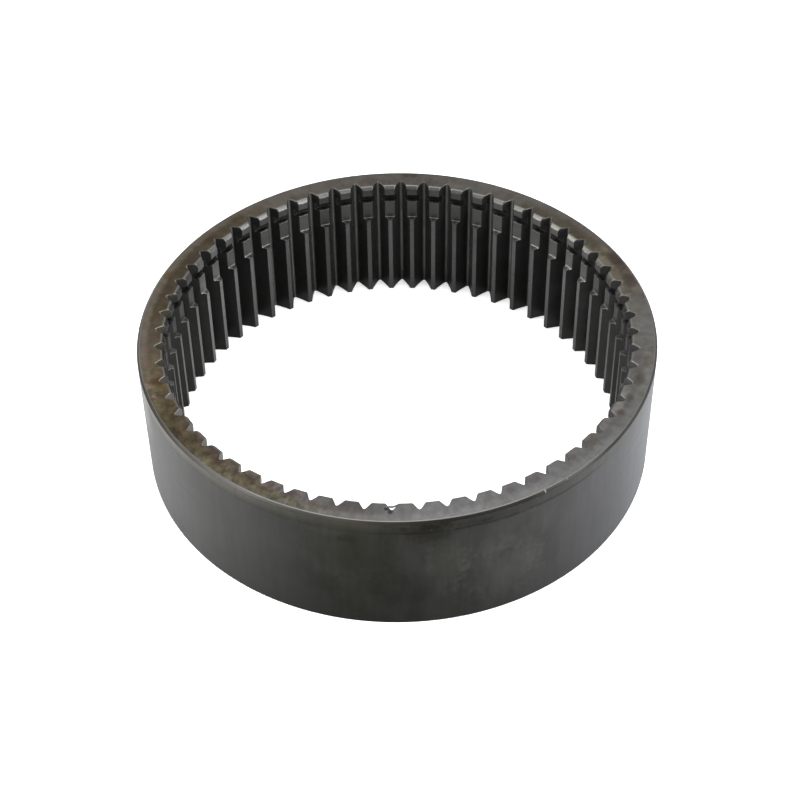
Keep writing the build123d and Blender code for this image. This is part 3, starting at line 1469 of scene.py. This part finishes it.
@dataclass(frozen=True)
class EdgeBurr:
    """Thin curl of metal across one tooth space, almost level with the top face.

    Attributes:
        angle: middle of the tooth space, in degrees.
        face: height of the top face.
        route: its middle line, as angles from the middle of the space in degrees and radii in millimetres.
        rise: how far it stands above that face.
        width: its greatest width.
        blunt: square of the share of its width that is left at its ends.
        thickness: its thickness.
        steps: number of cross-sections.
    """

    angle: float
    face: float
    route: tuple[tuple[float, float], ...] = (
        (-1.3, 92.2),
        (-0.6, 92.1),
        (0.1, 92.15),
        (0.8, 91.7),
        (1.5, 90.8),
    )
    rise: float = 0.04 * MM
    width: float = 0.75 * MM
    blunt: float = 0.05
    thickness: float = 0.2 * MM
    steps: int = 25

    def build(self, material: bpy.types.Material) -> bpy.types.Object:
        """Builds the curl as a closed ribbon that narrows towards both ends.

        Its half width is the greatest one times the square root of 1 less the fourth power of the way from
        the middle to an end.

        Args:
            material: its material.

        Returns:
            The object.
        """
        turns, radii = np.array(self.route).T
        degrees = np.linspace(turns[0], turns[-1], self.steps)
        middle = np.interp(degrees, turns, radii) * MM
        half = self.width / 2 * np.sqrt(np.maximum(1 - np.linspace(-1, 1, self.steps) ** 4, self.blunt))
        angle = np.radians(self.angle + degrees)
        top = self.face + self.rise
        below = top - self.thickness
        radius = middle[:, None] + np.stack([-half, half, half, -half], axis=-1)
        height = np.array([top, top, below, below])[None, :] + 0 * radius
        turn = angle[:, None]
        points = np.stack([radius * np.cos(turn), radius * np.sin(turn), height], axis=-1).reshape(-1, 3)
        start = np.arange(self.steps - 1)[:, None] * 4
        corner = np.arange(4)[None, :]
        beside = (corner + 1) % 4
        quads = np.stack([start + corner, start + beside, start + 4 + beside, start + 4 + corner], axis=-1)
        last = 4 * (self.steps - 1)
        caps = np.array([[3, 2, 1, 0], [last, last + 1, last + 2, last + 3]])
        mesh = new_mesh("edge_burr", points, np.concatenate([quads.reshape(-1, 4), caps]))
        mesh.materials.append(material)
        piece = new_object("edge_burr", mesh)
        finish_edges(piece, math.radians(40))
        return piece


# ---------------------------------------------------------------------------------------------------
# Mesh helpers
# ---------------------------------------------------------------------------------------------------


def new_mesh(name: str, points: np.ndarray, faces: np.ndarray) -> bpy.types.Mesh:
    """Makes a mesh from arrays.

    Args:
        name: name of the mesh.
        points: vertex places, one row each.
        faces: vertex numbers, one row for each face.

    Returns:
        The mesh, with smooth faces.
    """
    mesh = bpy.data.meshes.new(name)
    mesh.from_pydata(points.tolist(), [], faces.tolist())
    mesh.update()
    mesh.polygons.foreach_set("use_smooth", np.ones(len(mesh.polygons), bool))
    return mesh


def store_wear(mesh: bpy.types.Mesh, wear_and_highlight: np.ndarray) -> None:
    """Stores how worn each vertex is and how strong its painted highlight is, for the materials to read.

    Args:
        mesh: the mesh.
        wear_and_highlight: one value for each vertex.
    """
    attribute = mesh.attributes.new("wear_and_highlight", "FLOAT", "POINT")
    attribute.data.foreach_set("value", wear_and_highlight.astype(np.float32))


def new_object(name: str, mesh: bpy.types.Mesh) -> bpy.types.Object:
    """Links an object at the origin.

    Args:
        name: name of the object.
        mesh: its mesh.

    Returns:
        The object.
    """
    piece = bpy.data.objects.new(name, mesh)
    bpy.context.scene.collection.objects.link(piece)
    return piece


def finish_edges(piece: bpy.types.Object, angle: float) -> None:
    """Keeps sharp edges crisp and wide faces flat.

    Args:
        piece: the object.
        angle: edges that turn by more than this stay sharp, in radians.
    """
    piece.data.set_sharp_from_angle(angle=angle)
    weighted = piece.modifiers.new("flat_faces", "WEIGHTED_NORMAL")
    weighted.keep_sharp = True
    weighted.weight = 80


# ---------------------------------------------------------------------------------------------------
# Studio
# ---------------------------------------------------------------------------------------------------


@dataclass
class Studio:
    """White floor, white surroundings, soft lamps and the camera.

    Attributes:
        reach: the gear's outer radius, which the distances below are multiples of.
        aim_height: height on the axis that the lamps face and the camera's angles are measured from.
        distance: how far the camera stands from there, in outer radii.
        azimuth: where the camera stands, in degrees from +X.
        elevation: how high it stands, in degrees.
        tilt: how far it is then turned down or up, in degrees.
        pan: how far it is turned sideways, in degrees.
        roll: how far it is turned round its own axis, in degrees.
        lens: its focal length, in millimetres.
    """

    reach: float
    aim_height: float = 54 * MM
    distance: float = 7.169
    azimuth: float = -88.355
    elevation: float = 42.19
    tilt: float = -2.135
    pan: float = -0.0635
    roll: float = 0.881
    lens: float = 83.6

    def background(self, strength: float, fill: float) -> None:
        """World that is plain white where the camera or a reflection sees it, and gives a plain fill light.

        Args:
            strength: brightness as seen.
            fill: brightness as light.
        """
        world = bpy.data.worlds.new("white_studio")
        world.use_nodes = True
        bpy.context.scene.world = world
        graph = Graph(world.node_tree)
        shader = world.node_tree.nodes["Background"]
        graph.feed(shader.inputs["Color"], (1.0, 1.0, 1.0))
        graph.feed(shader.inputs["Strength"], graph.between(self.seen(graph), fill, strength))

    @staticmethod
    def seen(graph: Graph) -> bpy.types.NodeSocket:
        """Whether the ray comes from the camera, a reflection or glass.

        Args:
            graph: the graph to build in.

        Returns:
            1 where it does, else 0.
        """
        path = graph.add("ShaderNodeLightPath").outputs
        mirrored = graph.math("MAXIMUM", path["Is Glossy Ray"], path["Is Transmission Ray"])
        return graph.math("MAXIMUM", path["Is Camera Ray"], mirrored)

    def floor(self, glow: float, seen: float, colour: float) -> bpy.types.Object:
        """White floor that keeps the gear's shadow.

        Args:
            glow: light that the floor gives off where it is seen, so that only deep shadow shows.
            seen: its grey level where it is seen.
            colour: its grey level as it lights the gear.

        Returns:
            The floor.
        """
        half = 40 * self.reach
        square = np.array([(-half, -half, 0.0), (half, -half, 0.0), (half, half, 0.0), (-half, half, 0.0)])
        floor = new_object("floor", new_mesh("floor", square, np.array([[0, 1, 2, 3]])))
        material = bpy.data.materials.new("white_floor")
        material.use_nodes = True
        graph = Graph(material.node_tree)
        shader = material.node_tree.nodes["Principled BSDF"]
        camera_ray = graph.add("ShaderNodeLightPath").outputs["Is Camera Ray"]
        level = graph.mix(camera_ray, (colour, colour, colour), (seen, seen, seen))
        graph.feed(shader.inputs["Base Color"], level)
        shader.inputs["Roughness"].default_value = 1.0
        shader.inputs["Specular IOR Level"].default_value = 0.0
        graph.feed(shader.inputs["Emission Color"], (1.0, 1.0, 1.0))
        graph.feed(shader.inputs["Emission Strength"], graph.math("MULTIPLY", camera_ray, glow))
        floor.data.materials.append(material)
        return floor

    def lamp(
        self, name: str, azimuth: float, elevation: float, distance: float, size: float, watts: float
    ) -> None:
        """Adds a square soft lamp that faces the gear.

        Args:
            name: name of the lamp.
            azimuth: where it stands, in degrees from +X.
            elevation: how high it stands, in degrees.
            distance: how far, in outer radii.
            size: its side, in outer radii.
            watts: its power.
        """
        data = bpy.data.lights.new(name, "AREA")
        data.energy = watts
        data.size = size * self.reach
        lamp = bpy.data.objects.new(name, data)
        bpy.context.scene.collection.objects.link(lamp)
        away = direction(azimuth, elevation)
        lamp.location = Vector((0.0, 0.0, self.aim_height)) + away * distance * self.reach
        lamp.rotation_euler = (-away).to_track_quat("-Z", "Y").to_euler()

    def camera(self) -> None:
        """Places the camera, turned from the line to the middle of the top face by tilt, pan and roll."""
        data = bpy.data.cameras.new("camera")
        data.sensor_width = 36.0
        data.lens = self.lens
        data.clip_start = 0.01
        data.clip_end = 100.0
        camera = bpy.data.objects.new("camera", data)
        bpy.context.scene.collection.objects.link(camera)
        away = direction(self.azimuth, self.elevation)
        forward = -away
        right = forward.cross(Vector((0.0, 0.0, 1.0))).normalized()
        up = right.cross(forward)
        tilt = Matrix.Rotation(math.radians(self.tilt), 3, right)
        forward, up = tilt @ forward, tilt @ up
        pan = Matrix.Rotation(math.radians(self.pan), 3, up)
        forward, right = pan @ forward, pan @ right
        roll = Matrix.Rotation(math.radians(self.roll), 3, forward)
        right, up = roll @ right, roll @ up
        turned = Matrix((right, up, -forward)).transposed().to_4x4()
        turned.translation = Vector((0.0, 0.0, self.aim_height)) + away * self.distance * self.reach
        camera.matrix_world = turned
        bpy.context.scene.camera = camera


def direction(azimuth: float, elevation: float) -> Vector:
    """Unit vector from two angles.

    Args:
        azimuth: angle from +X towards +Y, in degrees.
        elevation: angle above the horizon, in degrees.

    Returns:
        The vector.
    """
    turn, rise = math.radians(azimuth), math.radians(elevation)
    return Vector((math.cos(turn) * math.cos(rise), math.sin(turn) * math.cos(rise), math.sin(rise)))


def main() -> None:
    """Builds the gear's looks and the studio, and reports each piece."""
    logging.basicConfig(level=logging.INFO, format="%(name)s: %(message)s")
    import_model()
    low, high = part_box("ring_gear")
    groups = Groups(polar_group(), mottle_group(), turning_group(), streak_group(), stain_and_shade_group())
    materials = {finish: steel.build(finish, groups) for finish, steel in FINISHES.items()}

    body = GearBody(outer_radius=high[0], width=high[2] - low[2])
    gear = body.build(materials)
    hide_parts("ring_gear")
    burr = EdgeBurr(angle=270.0, face=body.width).build(materials[Finish.BURR])
    for piece in (gear, burr):
        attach(piece, "root")
        LOG.info("%s: %d faces", piece.name, len(piece.data.polygons))

    studio = Studio(reach=body.outer_radius)
    studio.background(strength=1.0, fill=0.3)
    studio.floor(glow=0.45, seen=1.0, colour=0.55)
    studio.lamp("overhead", azimuth=120, elevation=80, distance=10, size=8, watts=8)
    studio.lamp("left_side", azimuth=195, elevation=15, distance=9, size=8, watts=14)
    studio.lamp("right_side", azimuth=-30, elevation=15, distance=9, size=8, watts=18)
    studio.camera()
    bpy.context.scene.view_settings.view_transform = "Standard"


if __name__ == "__main__":
    main()
